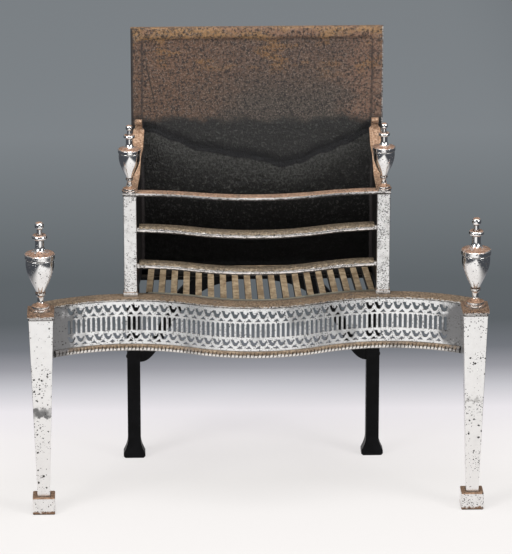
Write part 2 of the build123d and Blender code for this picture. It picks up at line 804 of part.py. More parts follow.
def cheek_edge(side):
    """Stepped top edge of a cheek, from the top bar to the foot of the tongue."""
    end = cheek_length(side) - strap_thickness - scroll_radius
    start = small_urn_y + urn_base_radius * small_urn_ratio + strap_front_gap - standard_back_y
    x, z = start, top_bar_top_z - strap_thickness
    points = [(x, z)]
    steps = ((shoulder_share, shoulder_lift), (sweep_share, sweep_lift), (landing_share, landing_lift))
    for share, lift in steps:
        x, z = x + share * (end - start), z + lift
        points.append((x, z))
    points.append((end, z + (end - x) * tan(radians(cheek_end_slope))))
    return FilletPolyline(*points, radius=cheek_bend_share * (end - start))


def cheek_plate(side):
    edge = cheek_edge(side)
    start, stop = edge @ 0, edge @ 1
    end = cheek_length(side)
    web = make_face([
        edge, Line((start.X, start.Y), (start.X, standard_top_z)),
        Line((start.X, standard_top_z), (0, standard_top_z)),
        Line((0, standard_top_z), (0, panel_top_z)), Line((0, panel_top_z), (cheek_step_run, panel_top_z)),
        Line((cheek_step_run, panel_top_z), (cheek_step_run, rear_bearer_top_z)),
        Line((cheek_step_run, rear_bearer_top_z), (end, rear_bearer_top_z)),
        Line((end, rear_bearer_top_z), (end, stop.Y)), Line((end, stop.Y), (stop.X, stop.Y)),
    ])
    plate = extrude(cheek_plane(side) * web, cheek_thickness / 2, both=True)
    middle = side * standard_x
    plate += block((middle - cheek_flange / 2, middle + cheek_flange / 2),
                   (standard_back_y, standard_back_y + cheek_flange_thickness), (rail_top_z, standard_top_z))
    plate &= block((-leg_x, leg_x), (standard_back_y, plate_front_y - cheek_clearance), (0, 2 * leg_x))
    return plate - flange_rivet_holes(side) - angle_rivet_holes(side)


def cheek_strap(side):
    """Facing strap that follows the cheek's edge and ends in a narrow tongue rolled forward."""
    edge = cheek_edge(side)
    stop = edge @ 1
    direction = edge % 1
    rise = JernArc(start=stop, tangent=direction, radius=tongue_bend, arc_size=90 - cheek_end_slope)
    tongue = Line(rise @ 1, rise @ 1 + Vector(0, tongue_height))
    roll = JernArc(start=tongue @ 1, tangent=(0, 1), radius=scroll_radius, arc_size=scroll_turn)
    path = Wire([*edge.edges(), rise.edge(), tongue.edge(), roll.edge()])
    ribbon = make_face(path.offset_2d(strap_thickness, side=Side.LEFT).edges())
    strap = extrude(cheek_plane(side) * ribbon, strap_width / 2, both=True)
    half, narrow = strap_width / 2, tongue_width / 2
    neck_z = stop.Y + tongue_shoulder
    top_z = neck_z + long_cut
    right_side = [(half, standard_top_z - long_cut), (half, neck_z),
                  (narrow, neck_z + tongue_shoulder), (narrow, top_z)]
    left_side = [(-x, z) for x, z in reversed(right_side)]
    front = make_face(Polyline(*right_side, *left_side, close=True))
    plane = cheek_plane(side)
    across = Plane(plane.origin, x_dir=-plane.z_dir, z_dir=plane.x_dir)
    return strap & extrude(across * front, cheek_length(side) + long_cut, both=True)


def cheek_angle(side):
    """Angle iron behind the strap, between a cheek's outer face and the back plate."""
    x = cheek_rear_x(side)
    foot = rear_bearer_top_z + angle_foot_room
    back = plate_front_y
    seat = back - cheek_clearance
    front = back - angle_side
    face = x + side * cheek_thickness / 2
    web = block(sorted((x, face + side * (angle_thickness + cheek_thickness))), (front, back),
                (foot, foot + angle_height))
    outer = block(sorted((x, face + side * angle_side)), (back - angle_thickness, back),
                  (foot, foot + angle_height))
    slope = (cheek_rear_x(side) - side * cheek_front_x) / cheek_run
    skew = degrees(atan2(slope, 1))
    side_cut = Pos(x, seat, 0) * Rot(0, 0, -skew) * block(
        sorted((-side * long_cut, side * cheek_thickness / 2)), (-long_cut, long_cut), (0, 2 * leg_x))
    thick_cut = Pos(x, seat, 0) * Rot(0, 0, -skew) * block(
        sorted((side * (cheek_thickness / 2 + angle_thickness), side * long_cut)),
        (-long_cut, -angle_thickness), (0, 2 * leg_x))
    angle = web + outer - side_cut - thick_cut
    return angle - angle_rivet_holes(side) - plate_bolt_holes(side)


# Fasteners. Each kind is drawn with its axis on Z, head up, and its seat at the origin.

def rivet(grip, radius=rivet_radius, head=rivet_head_radius, head_height=rivet_head_height):
    """Shank and domed head; the far end is filed flush."""
    shank = Cylinder(radius, grip, align=(Align.CENTER, Align.CENTER, Align.MAX))
    dome_radius = (head**2 + head_height**2) / (2 * head_height)
    dome = Pos(0, 0, head_height - dome_radius) * Sphere(dome_radius)
    dome &= Cylinder(head * 2, head_height, align=(Align.CENTER, Align.CENTER, Align.MIN))
    return shank + dome


def drill(radius, grip):
    """Hole for a shank, run a little past both its ends."""
    return Pos(0, 0, contact_gap) * Cylinder(hole(radius), grip + 2 * contact_gap,
                                            align=(Align.CENTER, Align.CENTER, Align.MAX))


def frieze_screws():
    back = leg_y + leg_top_side / 2 + lug_thickness
    screw = rivet(screw_bite, screw_radius, screw_head_radius, screw_head_height)
    right = [Pos(leg_x, back, z) * Rot(-90, 0, 0) * screw for z in screw_heights()]
    return right + [mirrored(screw) for screw in right]


def rail_rivet_places():
    shares = (-0.75, -0.35, 0.35, 0.75)
    runs = [frieze_line.run_at(hollow_x * share) for share in shares]
    return [frieze_line.place(run, rail_depth / 2, bearer_foot_z) * Rot(180, 0, 0) for run in runs]


def rail_rivets():
    return [place * rivet(rail_thickness + bearer_plate) for place in rail_rivet_places()]


def rail_rivet_holes():
    return [place * drill(rivet_radius, rail_thickness + bearer_plate) for place in rail_rivet_places()]


def gadroon_rivet_places():
    reach = gadroon_reach()
    z = (gadroon_top_z + gadroon_foot_z) / 2
    back = panel_lip + panel_thickness + seat_gap
    shares = (-0.9, -0.54, -0.18, 0.18, 0.54, 0.9)
    return [frieze_line.place(reach * share, back, z) * Rot(-90, 0, 0) for share in shares]


def gadroon_rivets():
    return [place * rivet(panel_thickness + rivet_radius) for place in gadroon_rivet_places()]


def gadroon_rivet_holes():
    return [place * drill(rivet_radius, panel_thickness + rivet_radius) for place in gadroon_rivet_places()]


def flange_rivet_places(side):
    heights = [rail_top_z + standard_height * share for share in (0.12, 0.5, 0.88)]
    back = standard_back_y + cheek_flange_thickness
    x = side * (standard_x + cheek_flange / 4)
    return [Pos(x, back, z) * Rot(-90, 0, 0) for z in heights]


def flange_grip():
    return cheek_flange_thickness + standard_depth / 2


def cheek_rivets():
    return [place * rivet(flange_grip()) for side in sides.values() for place in flange_rivet_places(side)]


def flange_rivet_holes(side):
    return [place * drill(rivet_radius, flange_grip()) for place in flange_rivet_places(side)]


def angle_rivet_places(side):
    """On the outer face of the angle iron, square to the cheek."""
    plane = cheek_plane(side)
    along = cheek_length(side) - angle_side / 2 - angle_thickness
    outer = cheek_thickness / 2 + angle_thickness
    foot = rear_bearer_top_z + angle_foot_room
    out = plane.z_dir * side
    turn = degrees(atan2(out.Y, out.X))
    places = []
    for share in (0.12, 0.5, 0.88):
        base = plane.origin + plane.x_dir * along + out * outer
        places.append(Pos(base.X, base.Y, foot + angle_height * share) * Rot(0, 0, turn) * Rot(0, 90, 0))
    return places


def angle_rivets():
    grip = cheek_thickness + angle_thickness
    small = rivet(grip, head=rivet_radius * 1.5)
    return [place * small for side in sides.values() for place in angle_rivet_places(side)]


def angle_rivet_holes(side):
    grip = cheek_thickness + angle_thickness
    return [place * drill(rivet_radius, grip) for place in angle_rivet_places(side)]


def plate_bolt_places(side):
    """On the back of the plate, in line with the angle iron's outer leg."""
    x = cheek_rear_x(side) + side * (cheek_thickness / 2 + (angle_side + angle_thickness) / 2)
    foot = rear_bearer_top_z + angle_foot_room
    back = plate_front_y + plate_thickness
    return [Pos(x, back, foot + angle_height * share) * Rot(-90, 0, 0) for share in (0.3, 0.7)]


def plate_bolt_grip():
    return plate_thickness + angle_thickness


def plate_bolts():
    bolt = rivet(plate_bolt_grip(), head_height=bolt_head_height)
    return [place * bolt for side in sides.values() for place in plate_bolt_places(side)]


def plate_bolt_holes(side):
    return [place * drill(rivet_radius, plate_bolt_grip()) for place in plate_bolt_places(side)]


def bearer_bolt_place():
    return Pos(rear_leg_x, rear_back_y - bolt_head_radius - 1, rear_bearer_top_z)


def bearer_bolts():
    bolt = bearer_bolt_place() * rivet(bolt_bite, bolt_radius, bolt_head_radius, bolt_head_height)
    return [bolt, mirrored(bolt)]


def bearer_bolt_hole():
    return bearer_bolt_place() * drill(bolt_radius, bolt_bite)


def brace_side_place():
    """Rivet from the rear leg's outer side into the end of its brace."""
    return Pos(rear_leg_x + rear_leg_width / 2, brace_y(), brace_leg_z + brace_leg_depth / 2) * Rot(0, 90, 0)


def brace_tip_place():
    return Pos(brace_tip_x + long_cut / 4, brace_y(), rear_bearer_foot_z - brace_tip_depth) * Rot(180, 0, 0)


def brace_side_hole():
    return brace_side_place() * drill(rivet_radius, rear_leg_width + brace_leg_depth / 2)


def brace_tip_hole():
    return brace_tip_place() * drill(rivet_radius, brace_tip_depth + rear_bearer_thickness)


def brace_rivets():
    side = brace_side_place() * rivet(rear_leg_width + brace_leg_depth / 2)
    return [side, mirrored(side)]


# Write every piece

def pair(name, make):
    """A right-hand piece and its mirror image."""
    part = make()
    yield f"{name}_right", part
    yield f"{name}_left", mirrored(part)


def all_pieces():
    for name, make in (("front_foot", front_foot), ("front_leg", front_leg), ("leg_cap", leg_cap),
                       ("standard", standard), ("rear_leg", rear_leg), ("rear_brace", rear_brace)):
        yield from pair(name, make)
    for word, side in sides.items():
        for piece, part in urn_pieces("large_urn", 1.0, side * leg_x, leg_y, cap_top_z):
            yield f"{piece}_{word}", part
        for piece, part in urn_pieces("small_urn", small_urn_ratio, side * standard_x, small_urn_y,
                                      top_bar_top_z):
            yield f"{piece}_{word}", part
        for make in (cheek_plate, cheek_strap, cheek_angle):
            yield f"{make.__name__}_{word}", make(side)
    yield "lower_bar", fire_bar(lower_bar_z)
    yield "middle_bar", fire_bar(middle_bar_z)
    for make in (frieze_rail, frieze_panel, frieze_gadroon, top_bar, front_bearer, rear_bearer, back_plate,
                 grid_front_strip, grid_rear_strip, grid_bars, frieze_screws, rail_rivets, gadroon_rivets,
                 standard_nuts, cheek_rivets, angle_rivets, plate_bolts, bearer_bolts, brace_rivets):
        yield make.__name__, make()


os.makedirs("parts", exist_ok=True)
for node, part in all_pieces():
    group = part if isinstance(part, list) else [part]
    solids = [solid for member in group for solid in member.solids()]
    export_step(Compound(children=solids) if len(solids) > 1 else solids[0], f"parts/{node}.step")
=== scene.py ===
import math

import bmesh
import bpy
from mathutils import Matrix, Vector, noise


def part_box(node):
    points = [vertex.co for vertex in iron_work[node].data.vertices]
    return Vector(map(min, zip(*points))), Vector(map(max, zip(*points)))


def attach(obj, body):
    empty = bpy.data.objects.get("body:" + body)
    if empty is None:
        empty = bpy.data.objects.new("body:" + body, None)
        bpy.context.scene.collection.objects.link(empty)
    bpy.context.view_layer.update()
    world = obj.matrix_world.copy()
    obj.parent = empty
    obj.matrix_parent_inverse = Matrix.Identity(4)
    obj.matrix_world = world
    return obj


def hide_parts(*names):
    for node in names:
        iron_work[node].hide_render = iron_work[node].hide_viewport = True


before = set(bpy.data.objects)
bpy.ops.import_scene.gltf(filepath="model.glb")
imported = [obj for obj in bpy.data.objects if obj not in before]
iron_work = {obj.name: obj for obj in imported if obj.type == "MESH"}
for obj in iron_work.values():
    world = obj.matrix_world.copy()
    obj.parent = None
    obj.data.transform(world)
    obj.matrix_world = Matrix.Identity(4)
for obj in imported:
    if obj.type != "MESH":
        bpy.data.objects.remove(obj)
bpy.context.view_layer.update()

# Front legs: two square bars of steel, filed to a taper and polished on the faces.
# Each stands in a block foot and ends under a square cap. Damp has pitted the
# polish with small black spots, and what faces upwards is brown, partly oxide and
# partly a painted warm reflection.


def put(tree, kind, inputs=None, **settings):
    """A new shader node, with its settings, and its inputs as values or links."""
    made = tree.nodes.new(kind)
    for name, value in settings.items():
        setattr(made, name, value)
    for name, value in (inputs or {}).items():
        if isinstance(value, bpy.types.NodeSocket):
            tree.links.new(value, made.inputs[name])
        else:
            made.inputs[name].default_value = value
    return made


def reckon(tree, operation, first, second=0.0, third=0.0):
    """One step of arithmetic between values over the surface."""
    return put(tree, "ShaderNodeMath", {0: first, 1: second, 2: third}, operation=operation).outputs[0]


def product(tree, first, second):
    """Two masks or values multiplied."""
    return reckon(tree, "MULTIPLY", first, second)


def total(tree, first, second):
    """Two values added."""
    return reckon(tree, "ADD", first, second)


def larger(tree, first, second):
    """The larger of two masks at each place."""
    return reckon(tree, "MAXIMUM", first, second)


def axes_of(tree, vector):
    """A place or a direction as its x, y and z."""
    return put(tree, "ShaderNodeSeparateXYZ", {0: vector}).outputs


def facing_of(tree):
    """Which way the surface faces, as x, y and z."""
    return axes_of(tree, put(tree, "ShaderNodeNewGeometry").outputs["Normal"])


def ramp(tree, value, start, end, low=0.0, high=1.0, kind="SMOOTHSTEP"):
    """A value brought from one range to another, clamped at both ends."""
    return put(tree, "ShaderNodeMapRange", {"Value": value, "From Min": start, "From Max": end,
                                            "To Min": low, "To Max": high}, interpolation_type=kind).outputs[0]


def tint(tree, share, under, over):
    """One colour laid over another by a mask."""
    opaque = {index: (*value, 1.0) if isinstance(value, tuple) else value
              for index, value in ((6, under), (7, over))}
    return put(tree, "ShaderNodeMix", {0: share, **opaque}, data_type="RGBA").outputs[2]


def mottle(tree, place, scale, detail=4.0, roughness=0.6):
    """Cloudy variation between 0 and 1; scale is clouds to the metre."""
    return put(tree, "ShaderNodeTexNoise", {"Vector": place, "Scale": scale, "Detail": detail,
                                            "Roughness": roughness}).outputs[0]


def stretched(tree, place, shares):
    """A place with each axis drawn out or pressed together, so that what lies on it is too."""
    return put(tree, "ShaderNodeVectorMath", {0: place, 1: shares}, operation="MULTIPLY").outputs[0]


def wandering(tree, place, scale, reach, detail=4.0, roughness=0.6):
    """Cloudy variation to either side of nought, as far as reach."""
    return ramp(tree, mottle(tree, place, scale, detail, roughness), 0.3, 0.7, -reach, reach, "LINEAR")


def effect(name, inputs, outputs):
    """An empty shader group with named sockets, and its two end nodes."""
    tree = bpy.data.node_groups.new(name, "ShaderNodeTree")
    for label, kind in inputs:
        tree.interface.new_socket(label, in_out="INPUT", socket_type="NodeSocket" + kind)
    for label, kind in outputs:
        tree.interface.new_socket(label, in_out="OUTPUT", socket_type="NodeSocket" + kind)
    return tree, tree.nodes.new("NodeGroupInput").outputs, tree.nodes.new("NodeGroupOutput").inputs


def rust_pits_effect():
    """Scattered round pits of uneven size, thick in some places and thin in others."""
    tree, given, result = effect(
        "rust_pits", [("Position", "Vector"), ("Size", "Float"), ("Cover", "Float")], [("Pits", "Float")])
    per_metre = reckon(tree, "DIVIDE", 1.0, given["Size"])
    wander = put(tree, "ShaderNodeTexNoise",
                 {"Vector": given["Position"], "Scale": per_metre, "Detail": 3.0})
    centred = put(tree, "ShaderNodeVectorMath", {0: wander.outputs["Color"], 1: (0.5, 0.5, 0.5)},
                  operation="SUBTRACT").outputs[0]
    offset = put(tree, "ShaderNodeVectorMath", {0: centred, "Scale": given["Size"]},
                 operation="SCALE").outputs[0]
    warped = put(tree, "ShaderNodeVectorMath", {0: given["Position"], 1: offset}).outputs[0]
    cells = put(tree, "ShaderNodeTexVoronoi", {"Vector": warped, "Scale": per_metre})
    chance = put(tree, "ShaderNodeSeparateColor", {0: cells.outputs["Color"]}).outputs
    cluster = ramp(tree, mottle(tree, given["Position"], 22.0), 0.38, 0.68, 0.1, 1.9)
    present = reckon(tree, "LESS_THAN", chance[0], product(tree, given["Cover"], cluster))
    radius = reckon(tree, "MULTIPLY_ADD", chance[1], 0.46, 0.16)
    dot = ramp(tree, cells.outputs["Distance"], radius, product(tree, radius, 0.55))
    tree.links.new(product(tree, present, dot), result["Pits"])
    return tree


def upward_film_and_reflection_effect():
    """A mask of faces that look up, with a ragged edge: brown oxide and ash, and on polished steel partly a
    painted warm reflection.
    """
    tree, given, result = effect("upward_film_and_reflection", [("Position", "Vector"), ("Onset", "Float")],
                                 [("FilmAndReflection", "Float")])
    facing = facing_of(tree)[2]
    ragged = wandering(tree, given["Position"], 160.0, 0.22)
    lift = reckon(tree, "SUBTRACT", total(tree, facing, ragged), given["Onset"])
    tree.links.new(ramp(tree, lift, 0.0, 0.3), result["FilmAndReflection"])
    return tree


def edge_wear_and_crease_shade_effect():
    """Arrises rubbed bright and crease lines that take painted shade, found as one mask, and the normal that
    rounds them over.
    """
    tree, given, result = effect(
        "edge_wear_and_crease_shade", [("Radius", "Float")], [("WearAndCreaseShade", "Float"), ("Normal", "Vector")])
    rounded = put(tree, "ShaderNodeBevel", {"Radius": given["Radius"]}, samples=6).outputs[0]
    flat = put(tree, "ShaderNodeNewGeometry").outputs["Normal"]
    agreement = put(tree, "ShaderNodeVectorMath", {0: rounded, 1: flat},
                    operation="DOT_PRODUCT").outputs["Value"]
    tree.links.new(ramp(tree, agreement, 0.995, 0.90), result["WearAndCreaseShade"])
    tree.links.new(rounded, result["Normal"])
    return tree


def corner_shade_and_grime_effect():
    """Darkening where two pieces meet, found by ambient occlusion: painted shade, standing also for dirt
    settled there.
    """
    tree, given, result = effect(
        "corner_shade_and_grime", [("Position", "Vector"), ("Reach", "Float"), ("Open", "Float")], [("ShadeAndGrime", "Float")])
    open_sky = put(tree, "ShaderNodeAmbientOcclusion", {"Distance": given["Reach"]}, samples=6).outputs["AO"]
    patchy = wandering(tree, given["Position"], 240.0, 0.15)
    tree.links.new(ramp(tree, total(tree, open_sky, patchy), given["Open"],
                        reckon(tree, "SUBTRACT", given["Open"], 0.42)), result["ShadeAndGrime"])
    return tree


rust_pits = rust_pits_effect()
upward_film_and_reflection = upward_film_and_reflection_effect()
edge_wear_and_crease_shade = edge_wear_and_crease_shade_effect()
corner_shade_and_grime = corner_shade_and_grime_effect()


def place_group(tree, group, values):
    """Sets one of the shared effects into a material, with its own values."""
    return put(tree, "ShaderNodeGroup", values, node_tree=group).outputs


def blank_finish(name):
    """A new material with its surface shader and the place on the piece."""
    material = bpy.data.materials.new(name)
    material.use_nodes = True
    tree = material.node_tree
    shader = tree.nodes["Principled BSDF"]
    place = put(tree, "ShaderNodeTexCoord").outputs["Object"]
    return material, tree, shader, place


pit_black = (0.022, 0.018, 0.015)
shade_and_grime_brown = (0.035, 0.026, 0.020)
tarnish_grey = (0.34, 0.32, 0.30)
stain_brown = (0.10, 0.08, 0.065)
tarnish_and_reflection_grey = (0.12, 0.12, 0.125)
shade_brown = (0.05, 0.04, 0.035)
foot_shade_black = (0.030, 0.023, 0.018)
crease_shade_black = (0.020, 0.015, 0.012)


def polished_steel(name, tone=(0.98, 0.97, 0.96), roughness=0.24, pits=0.20, pit_size=0.0042, onset=0.30,
                   film_and_reflection=(0.20, 0.115, 0.07), pale_film_and_reflection=(0.46, 0.31, 0.21), smudge=None, foot_rust=None,
                   shade_and_grime_reach=0.007, shade_and_grime_open=0.78, edge=0.0009, streaks=0.0, tarnish=0.25,
                   brown_above=None, dark_reflection_ends=None, shade_below=None, crease_shade_reach=None):
    """Polished steel: bright faces, black pits in two sizes, brown on what looks up (partly oxide and partly
    a painted warm reflection), and painted shade on what looks down, in corners and along the foot.

    onset is how far up a face looks before it browns. brown_above, shade_below and foot_rust are
    heights; below shade_below the foot is darkened with painted shade. dark_reflection_ends is a distance
    from the middle beyond which a dark reflection is painted, smudge is a low height, a high height and a
    grey, and crease_shade_reach is how far painted shade reaches from a gap between lobes.
    """
    material, tree, shader, place = blank_finish(name)
    across, _, level = axes_of(tree, place)
    near_edge = place_group(tree, edge_wear_and_crease_shade, {"Radius": 0.005})["WearAndCreaseShade"]
    cover = reckon(tree, "MULTIPLY_ADD", near_edge, pits * 0.9, pits)
    spots = place_group(tree, rust_pits, {"Position": place, "Size": pit_size, "Cover": cover})["Pits"]
    pepper = place_group(tree, rust_pits, {"Position": place, "Size": pit_size * 0.5, "Cover": cover})["Pits"]
    dark = larger(tree, spots, product(tree, pepper, 0.85))
    # Brown on faces that look up: partly oxide, partly a painted warm reflection.
    brown = place_group(tree, upward_film_and_reflection, {"Position": place, "Onset": onset})["FilmAndReflection"]
    arris = place_group(tree, edge_wear_and_crease_shade, {"Radius": edge})
    shade_and_grime = place_group(tree, corner_shade_and_grime,
                        {"Position": place, "Reach": shade_and_grime_reach, "Open": shade_and_grime_open})["ShadeAndGrime"]
    clouds = mottle(tree, place, 70.0, 6.0, 0.7)
    if brown_above:
        height = total(tree, level, wandering(tree, place, 300.0, 0.002))
        brown = larger(tree, brown, ramp(tree, height, brown_above - 0.001, brown_above + 0.001))
    polish = tint(tree, ramp(tree, clouds, 0.45, 0.75, 0.0, tarnish), tone, tarnish_grey)
    film_and_reflection_colour = tint(tree, ramp(tree, mottle(tree, place, 260.0, 5.0, 0.75), 0.42, 0.66), film_and_reflection, pale_film_and_reflection)
    colour = tint(tree, brown, polish, film_and_reflection_colour)
    metal = reckon(tree, "MULTIPLY_ADD", brown, -0.6, 1.0)
    # Towards both ends a painted dark reflection, and grey patches of tarnish scattered over the whole piece.
    if dark_reflection_ends:
        outward = total(tree, reckon(tree, "ABSOLUTE", across), wandering(tree, place, 24.0, 0.030, 5.0, 0.7))
        ends_reflection = ramp(tree, outward, dark_reflection_ends - 0.03, dark_reflection_ends)
        patch = ramp(tree, mottle(tree, place, 13.0, 3.0, 0.6), 0.52, 0.66, 0.0, 0.55)
        colour = tint(tree, product(tree, larger(tree, ends_reflection, patch), 0.85), colour, tarnish_and_reflection_grey)
    if streaks:
        drawn = stretched(tree, place, (0.35, 0.7, 1.8))
        stain = ramp(tree, mottle(tree, drawn, 190.0, 5.0, 0.75), 0.47, 0.62, 0.0, streaks)
        colour = tint(tree, stain, colour, stain_brown)
        metal = reckon(tree, "MULTIPLY_ADD", stain, -0.4, metal)
    if smudge:
        low, high, grey = smudge
        height = total(tree, level, wandering(tree, place, 70.0, 0.008))
        inside = product(tree, ramp(tree, height, low, low + 0.005), ramp(tree, height, high + 0.009, high))
        inside = product(tree, inside, ramp(tree, mottle(tree, place, 60.0), 0.35, 0.6, 0.45, 1.0))
        colour = tint(tree, inside, colour, grey)
    if foot_rust:
        height = total(tree, level, wandering(tree, place, 120.0, 0.004))
        rust = ramp(tree, height, foot_rust, foot_rust * 0.4)
        colour = tint(tree, rust, colour, film_and_reflection)
        metal = reckon(tree, "MULTIPLY_ADD", rust, -0.6, metal)
    colour = tint(tree, product(tree, arris["WearAndCreaseShade"], 0.25), colour, pale_film_and_reflection)
    # Faces that look down are darkened with painted shade.
    colour = tint(tree, ramp(tree, facing_of(tree)[2], -0.45, -0.85, 0.0, 0.85), colour, shade_brown)
    # Painted shade along the foot of the piece, under the given height.
    if shade_below:
        height = total(tree, level, wandering(tree, place, 150.0, 0.0012))
        colour = tint(tree, ramp(tree, height, shade_below + 0.0006, shade_below - 0.0006, 0.0, 0.92), colour,
                      foot_shade_black)
    # Painted shade in the crease lines between lobes.
    if crease_shade_reach:
        between = place_group(tree, edge_wear_and_crease_shade, {"Radius": crease_shade_reach})["WearAndCreaseShade"]
        colour = tint(tree, product(tree, between, 0.92), colour, crease_shade_black)
    colour = tint(tree, dark, colour, pit_black)
    # Where pieces meet and in corners, painted shade with some dirt darkens the colour and takes metal away.
    colour = tint(tree, shade_and_grime, colour, shade_and_grime_brown)
    metal = reckon(tree, "SUBTRACT", metal, product(tree, larger(tree, dark, shade_and_grime), 0.8))
    rough = total(tree, roughness, product(tree, larger(tree, brown, dark), 0.3))
    relief = reckon(tree, "MULTIPLY_ADD", dark, -1.0, product(tree, clouds, 0.25))
    bump = put(tree, "ShaderNodeBump", {"Strength": 0.45, "Distance": 0.0004, "Height": relief,
                                        "Normal": arris["Normal"]})
    tree.links.new(colour, shader.inputs["Base Color"])
    tree.links.new(larger(tree, metal, 0.0), shader.inputs["Metallic"])
    tree.links.new(reckon(tree, "MULTIPLY_ADD", clouds, 0.10, rough), shader.inputs["Roughness"])
    tree.links.new(bump.outputs[0], shader.inputs["Normal"])
    shader.inputs["Specular IOR Level"].default_value = 0.25
    return material


def coat(material, *names):
    """Gives pieces of the grate their finish."""
    for name in names:
        slots = iron_work[name].data.materials
        slots.clear()
        slots.append(material)


left_smudge = (0.190, 0.207, (0.21, 0.21, 0.21))
right_smudge = (0.212, 0.215, (0.46, 0.45, 0.44))
coat(polished_steel("left_leg_steel", smudge=left_smudge, pits=0.19, pit_size=0.0050, tarnish=0.12),
     "front_leg_left")
coat(polished_steel("right_leg_steel", smudge=right_smudge, pits=0.22, pit_size=0.0046, tarnish=0.12),
     "front_leg_right")
block_steel = polished_steel("block_steel", pits=0.42, pit_size=0.0034, onset=0.12, foot_rust=0.008)
coat(block_steel, "front_foot_left", "front_foot_right")
cap_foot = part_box("leg_cap_left")[0].z
cap_steel = polished_steel("cap_steel", tone=(0.90, 0.87, 0.85), pits=0.60, pit_size=0.0026, onset=0.05,
                           streaks=0.5, brown_above=cap_foot + 0.0065)
coat(cap_steel, "leg_cap_left", "leg_cap_right")

# Urn finials: turned steel, in three pieces on a screwed stud. The bellies and
# lids keep a mirror polish; the foot mouldings and the lid's top are brown, partly
# oxide and partly a painted warm reflection.

urn_steel = polished_steel("urn_steel", tone=(0.95, 0.94, 0.93), roughness=0.09, pits=0.16, pit_size=0.0030,
                           onset=0.60, film_and_reflection=(0.26, 0.15, 0.10), pale_film_and_reflection=(0.55, 0.36, 0.26),
                           shade_and_grime_reach=0.004, tarnish=0.15)
foot_steel = polished_steel("urn_foot_steel", tone=(0.88, 0.84, 0.80), roughness=0.12, pits=0.24,
                            pit_size=0.0030, onset=0.20, film_and_reflection=(0.28, 0.16, 0.10), pale_film_and_reflection=(0.55, 0.36, 0.25),
                            shade_and_grime_reach=0.004)
for size in ("large", "small"):
    for hand in ("left", "right"):
        coat(urn_steel, f"{size}_urn_vase_{hand}", f"{size}_urn_cover_{hand}", f"{size}_urn_stud_{hand}")
        coat(foot_steel, f"{size}_urn_foot_{hand}")

# Frieze: a sheet of steel, sawn out with hooks, drops and pales and bent to the
# bowed line, under a flat rail. A row of small filed lobes runs along its foot.

fret_steel = polished_steel("fret_steel", tone=(0.98, 0.98, 0.98), roughness=0.25, pits=0.34, pit_size=0.0028,
                            onset=0.30, film_and_reflection=(0.11, 0.10, 0.095), pale_film_and_reflection=(0.30, 0.28, 0.26),
                            shade_and_grime_reach=0.005, edge=0.0005, dark_reflection_ends=0.352)
coat(fret_steel, "frieze_panel", "frieze_screws", "gadroon_rivets", "rail_rivets")
rail_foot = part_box("frieze_rail")[0].z
rail_steel = polished_steel("rail_steel", tone=(0.78, 0.76, 0.73), pits=0.60, pit_size=0.0030, onset=0.25,
                            brown_above=rail_foot + 0.0028, shade_below=rail_foot + 0.0012,
                            film_and_reflection=(0.175, 0.115, 0.070), pale_film_and_reflection=(0.44, 0.335, 0.235), streaks=0.4)
coat(rail_steel, "frieze_rail")
lobe_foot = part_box("frieze_gadroon")[0].z
lobe_steel = polished_steel("lobe_steel", tone=(0.97, 0.94, 0.90), roughness=0.18, pits=0.15, pit_size=0.0020,
                            onset=0.10, film_and_reflection=(0.15, 0.105, 0.07), pale_film_and_reflection=(0.34, 0.26, 0.18),
                            shade_and_grime_reach=0.006, shade_and_grime_open=0.90, edge=0.0004, brown_above=lobe_foot + 0.0072,
                            crease_shade_reach=0.0020, dark_reflection_ends=0.365)
coat(lobe_steel, "frieze_gadroon")

# Basket front: two flat standards hold three bowed bars. The front faces are
# polished and heavily pitted; the bars' upper sides are brown, partly from the heat and
# partly a painted warm reflection, and painted shade darkens the bars' lower edges and
# the standards' feet.

standard_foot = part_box("standard_left")[0].z
standard_steel = polished_steel("standard_steel", tone=(0.92, 0.91, 0.90), pits=0.66, pit_size=0.0034,
                                shade_below=standard_foot + 0.005, tarnish=0.5)
coat(standard_steel, "standard_left", "standard_right", "standard_nuts")
for bar in ("lower_bar", "middle_bar"):
    bar_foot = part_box(bar)[0].z
    coat(polished_steel(f"{bar}_steel", tone=(0.97, 0.93, 0.90), roughness=0.20, pits=0.42, pit_size=0.0030,
                        onset=0.10, film_and_reflection=(0.11, 0.082, 0.052), pale_film_and_reflection=(0.38, 0.30, 0.21), streaks=0.6,
                        shade_below=bar_foot + 0.0035), bar)
top_bar_steel = polished_steel("top_bar_steel", tone=(0.93, 0.90, 0.88), pits=0.42, pit_size=0.0028,
                               onset=0.20, film_and_reflection=(0.25, 0.145, 0.09), pale_film_and_reflection=(0.56, 0.38, 0.27), streaks=0.6,
                               shade_below=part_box("top_bar")[0].z + 0.0025)
coat(top_bar_steel, "top_bar")

# Frame: front and rear bearers, fishtail rear legs and their braces, forged in
# black iron and riveted. The hammer has left a soft unevenness under the black.

ash_brown = (0.30, 0.25, 0.20)


